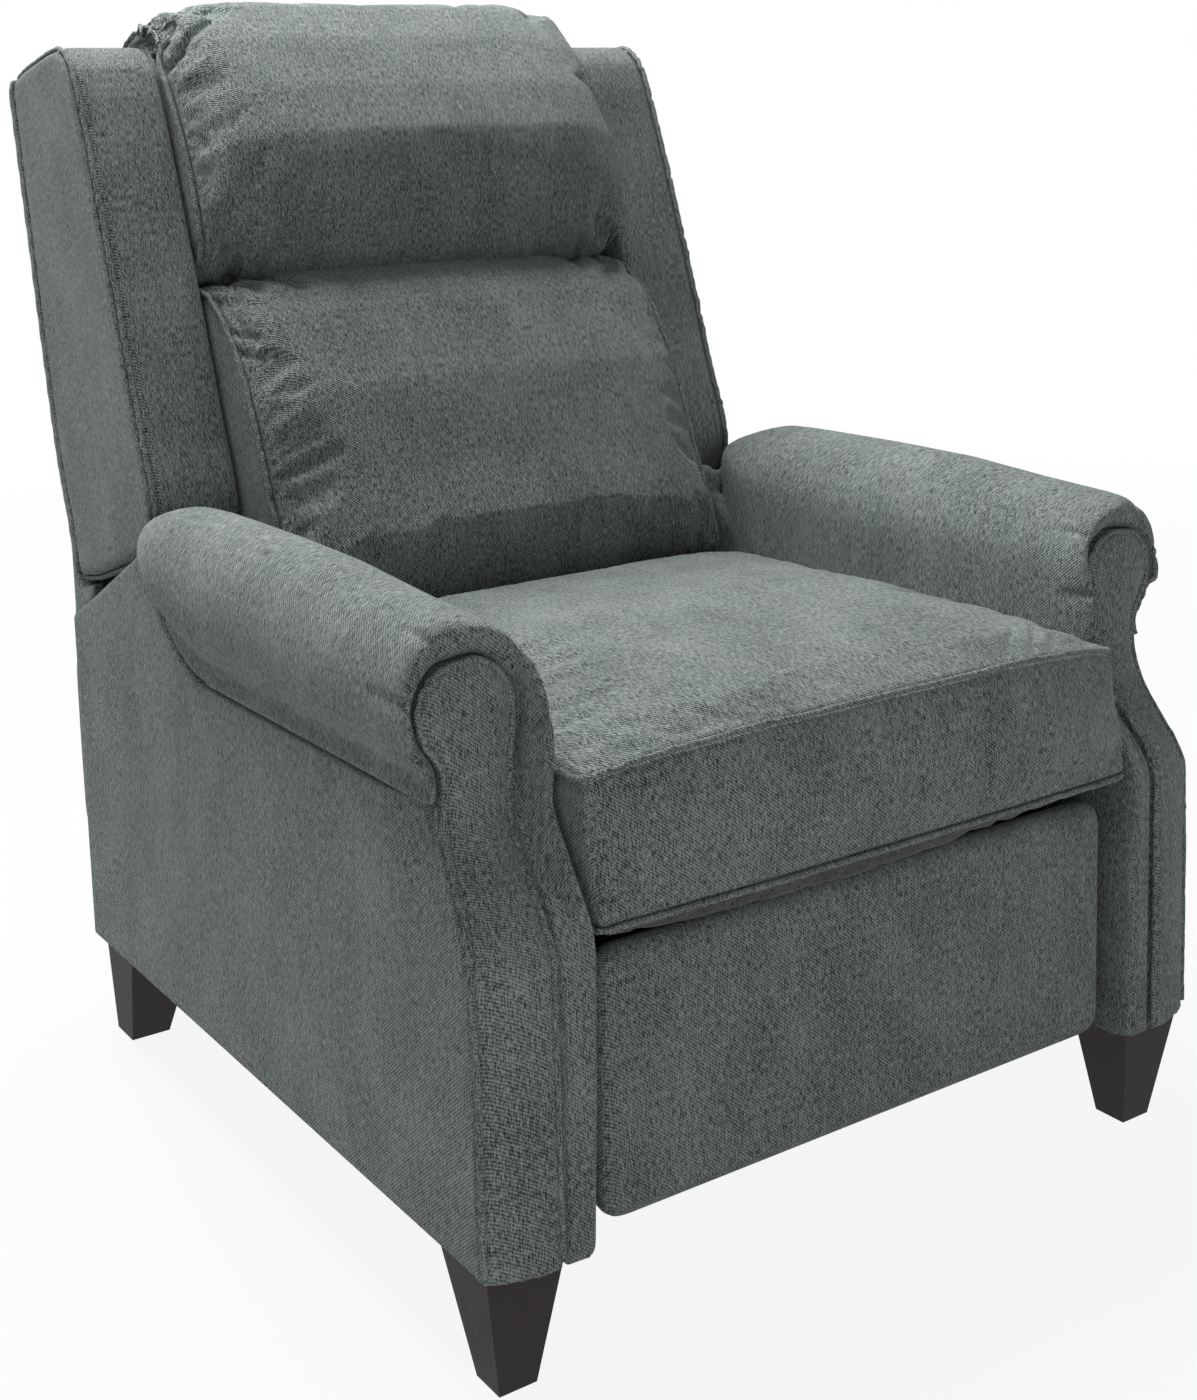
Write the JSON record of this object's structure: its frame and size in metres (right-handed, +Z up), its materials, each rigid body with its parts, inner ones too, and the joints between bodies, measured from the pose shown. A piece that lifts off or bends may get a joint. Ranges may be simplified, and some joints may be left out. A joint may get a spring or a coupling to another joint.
{
  "type": "push-back recliner armchair",
  "caption": "High-leg push-back recliner with wings, rolled arms, loose seat cushion, head and lumbar pillows and a footrest that swings out as the back reclines.",
  "frame": {"origin": "on the floor, at the middle of the chair outline seen from above", "axes": "+Z up, the chair faces -Y, +X is to the left hand of whoever sits in it"},
  "size_m": [0.824, 1.04, 1.1065],
  "materials": {
    "upholstery": "slate grey-green chenille with an upright slub and a fine twill",
    "leg_wood": "espresso-stained wood, satin lacquer",
    "frame_wood": "sawn and planed softwood, bare",
    "black_cloth": "black spun-bonded cloth",
    "mechanism_steel": "black enamelled pressed steel",
    "bolt_steel": "zinc-plated",
    "spring_steel": "oiled spring wire",
    "glide_plastic": "black nylon"
  },
  "bodies": {
    "base": {"left_leg_front": "leg_wood", "right_leg_front": "leg_wood", "left_leg_rear": "leg_wood", "right_leg_rear": "leg_wood", "left_arm_frame": "frame_wood", "right_arm_frame": "frame_wood", "left_side_panel": "upholstery", "right_side_panel": "upholstery", "left_inner_arm": "upholstery", "right_inner_arm": "upholstery", "left_arm_roll": "upholstery", "right_arm_roll": "upholstery", "left_arm_front": "upholstery", "right_arm_front": "upholstery", "left_arm_border": "upholstery", "right_arm_border": "upholstery", "left_base_plate": "mechanism_steel", "right_base_plate": "mechanism_steel", "leg_bolts": "bolt_steel", "glides": "glide_plastic", "front_rail": "frame_wood", "rear_rail": "frame_wood", "dust_cover": "black_cloth", "base_bolts": "bolt_steel"},
    "front_rockers": {"left_front_rocker": "mechanism_steel", "right_front_rocker": "mechanism_steel", "rocker_tube": "mechanism_steel"},
    "rear_rockers": {"left_rear_rocker": "mechanism_steel", "right_rear_rocker": "mechanism_steel"},
    "seat": {"seat_frame": "frame_wood", "seat_springs": "spring_steel", "seat_deck": "black_cloth", "seat_cushion": "upholstery", "seat_screws": "bolt_steel", "left_seat_rail": "mechanism_steel", "right_seat_rail": "mechanism_steel"},
    "back": {"back_frame": "frame_wood", "inner_back": "black_cloth", "outside_back": "upholstery", "head_pillow": "upholstery", "lumbar_pillow": "upholstery", "back_bolts": "bolt_steel", "left_wing": "upholstery", "right_wing": "upholstery", "left_back_bracket": "mechanism_steel", "right_back_bracket": "mechanism_steel"},
    "drive_cranks": {"left_drive_crank": "mechanism_steel", "right_drive_crank": "mechanism_steel", "crank_tube": "mechanism_steel"},
    "guide_cranks": {"left_guide_crank": "mechanism_steel", "right_guide_crank": "mechanism_steel"},
    "lift_links": {"left_lift_link": "mechanism_steel", "right_lift_link": "mechanism_steel"},
    "tilt_links": {"left_tilt_link": "mechanism_steel", "right_tilt_link": "mechanism_steel"},
    "footrest": {"left_foot_bracket": "mechanism_steel", "right_foot_bracket": "mechanism_steel", "foot_board": "frame_wood", "foot_pad": "upholstery"}
  },
  "joints": [
    {"name": "front_rocker_swing", "type": "hinge", "parent": "base", "child": "front_rockers", "pos_m": [0, -0.204, 0.18], "axis": [1, 0, 0], "range_deg": [0, 47.9]},
    {"name": "seat_carry", "type": "hinge", "parent": "front_rockers", "child": "seat", "pos_m": [0, -0.11912, 0.24997], "axis": [-1, 0, 0], "range_deg": [0, 47.9]},
    {"name": "rear_rocker_swing", "type": "hinge", "parent": "base", "child": "rear_rockers", "pos_m": [0, 0.016, 0.18], "axis": [1, 0, 0], "range_deg": [0, 47.9]},
    {"name": "back_recline", "type": "hinge", "parent": "seat", "child": "back", "pos_m": [0, 0.186, 0.33], "axis": [-1, 0, 0], "range_deg": [0, 25]},
    {"name": "drive_crank_swing", "type": "hinge", "parent": "seat", "child": "drive_cranks", "pos_m": [0, -0.374, 0.305], "axis": [-1, 0, 0], "range_deg": [0, 88]},
    {"name": "guide_crank_swing", "type": "hinge", "parent": "seat", "child": "guide_cranks", "pos_m": [0, -0.329, 0.285], "axis": [-1, 0, 0], "range_deg": [0, 88]},
    {"name": "lift_link_swing", "type": "hinge", "parent": "drive_cranks", "child": "lift_links", "pos_m": [0, -0.289, 0.16], "axis": [1, 0, 0], "range_deg": [0, 88]},
    {"name": "tilt_link_swing", "type": "hinge", "parent": "drive_cranks", "child": "tilt_links", "pos_m": [0, -0.297, 0.124], "axis": [1, 0, 0], "range_deg": [0, 88]},
    {"name": "footrest_swing", "type": "hinge", "parent": "lift_links", "child": "footrest", "pos_m": [0, -0.419, 0.31], "axis": [-1, 0, 0], "range_deg": [0, 88]}
  ],
  "couplings": [
    {"joint": "front_rocker_swing", "follows": "back_recline", "ratio": 1.916},
    {"joint": "seat_carry", "follows": "back_recline", "ratio": 1.916},
    {"joint": "rear_rocker_swing", "follows": "back_recline", "ratio": 1.916},
    {"joint": "drive_crank_swing", "follows": "back_recline", "ratio": 3.52},
    {"joint": "guide_crank_swing", "follows": "back_recline", "ratio": 3.52},
    {"joint": "lift_link_swing", "follows": "back_recline", "ratio": 3.52},
    {"joint": "tilt_link_swing", "follows": "back_recline", "ratio": 3.52},
    {"joint": "footrest_swing", "follows": "back_recline", "ratio": 3.52}
  ]
}
